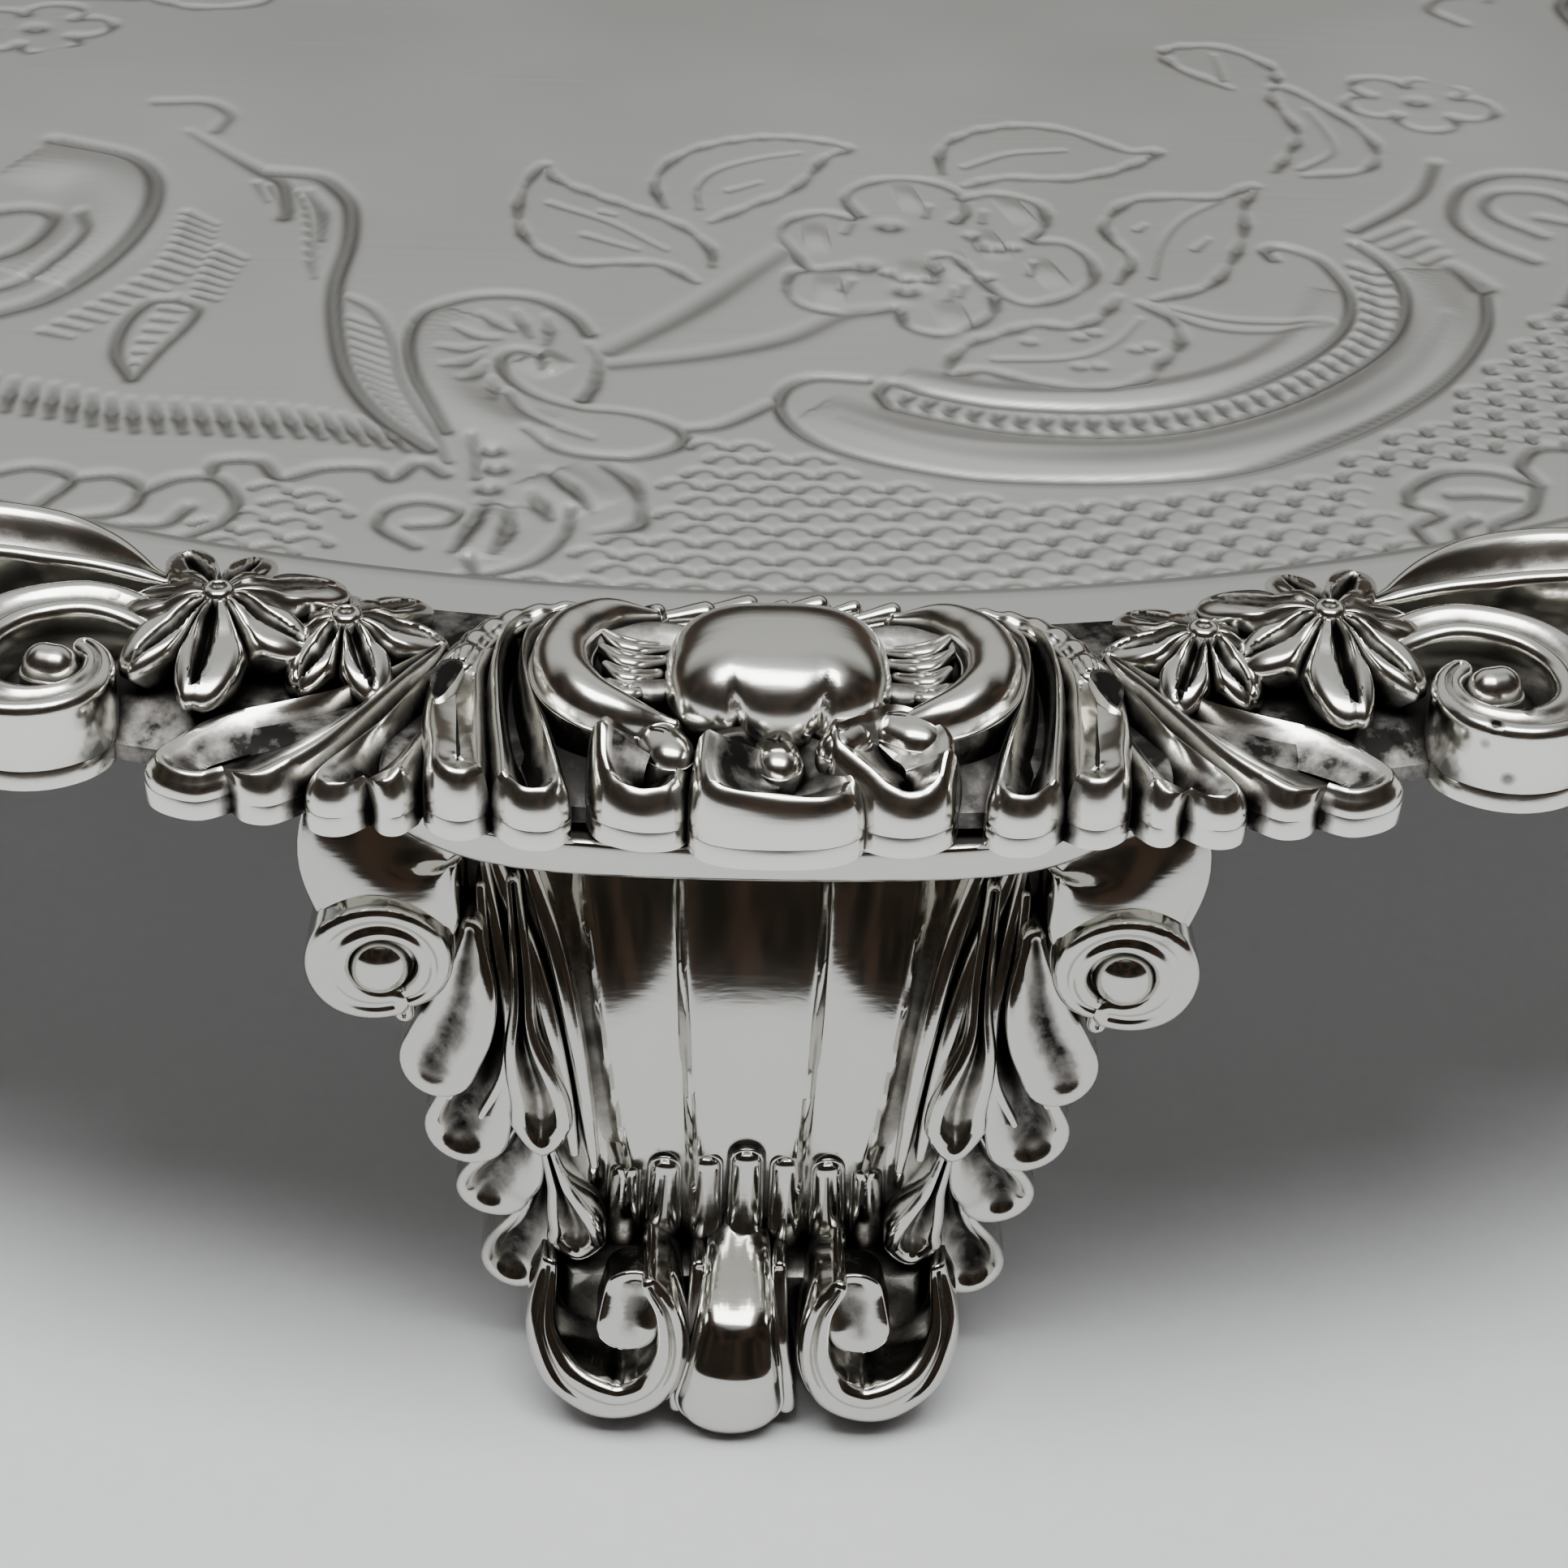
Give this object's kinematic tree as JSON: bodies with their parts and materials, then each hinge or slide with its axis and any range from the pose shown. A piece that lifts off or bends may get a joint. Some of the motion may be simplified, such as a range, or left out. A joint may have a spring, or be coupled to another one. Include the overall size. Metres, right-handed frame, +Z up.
{
  "type": "silver salver",
  "caption": "Round silver salver with a chased field, a cast rose, leaf and scroll border, and scrolled bracket feet.",
  "frame": {"origin": "on the floor, under the centre of the plate", "axes": "+Z up through the plate's centre; the first foot points to -Y"},
  "size_m": [0.203, 0.2036, 0.0367],
  "materials": {
    "chased_silver": "satin sterling silver with fine scratches and darkened chased lines",
    "cast_silver": "polished cast silver with black oxidised recesses"
  },
  "bodies": {
    "root": {"salver_plate": "chased_silver", "rose_casting_1": "cast_silver", "scroll_casting_1": "cast_silver", "rose_casting_2": "cast_silver", "scroll_casting_2": "cast_silver", "rose_casting_3": "cast_silver", "scroll_casting_3": "cast_silver", "rose_casting_4": "cast_silver", "scroll_casting_4": "cast_silver", "rose_casting_5": "cast_silver", "scroll_casting_5": "cast_silver", "rose_casting_6": "cast_silver", "scroll_casting_6": "cast_silver", "foot_pad_1": "cast_silver", "foot_1": "cast_silver", "foot_pad_2": "cast_silver", "foot_2": "cast_silver", "foot_pad_3": "cast_silver", "foot_3": "cast_silver"}
  },
  "joints": []
}
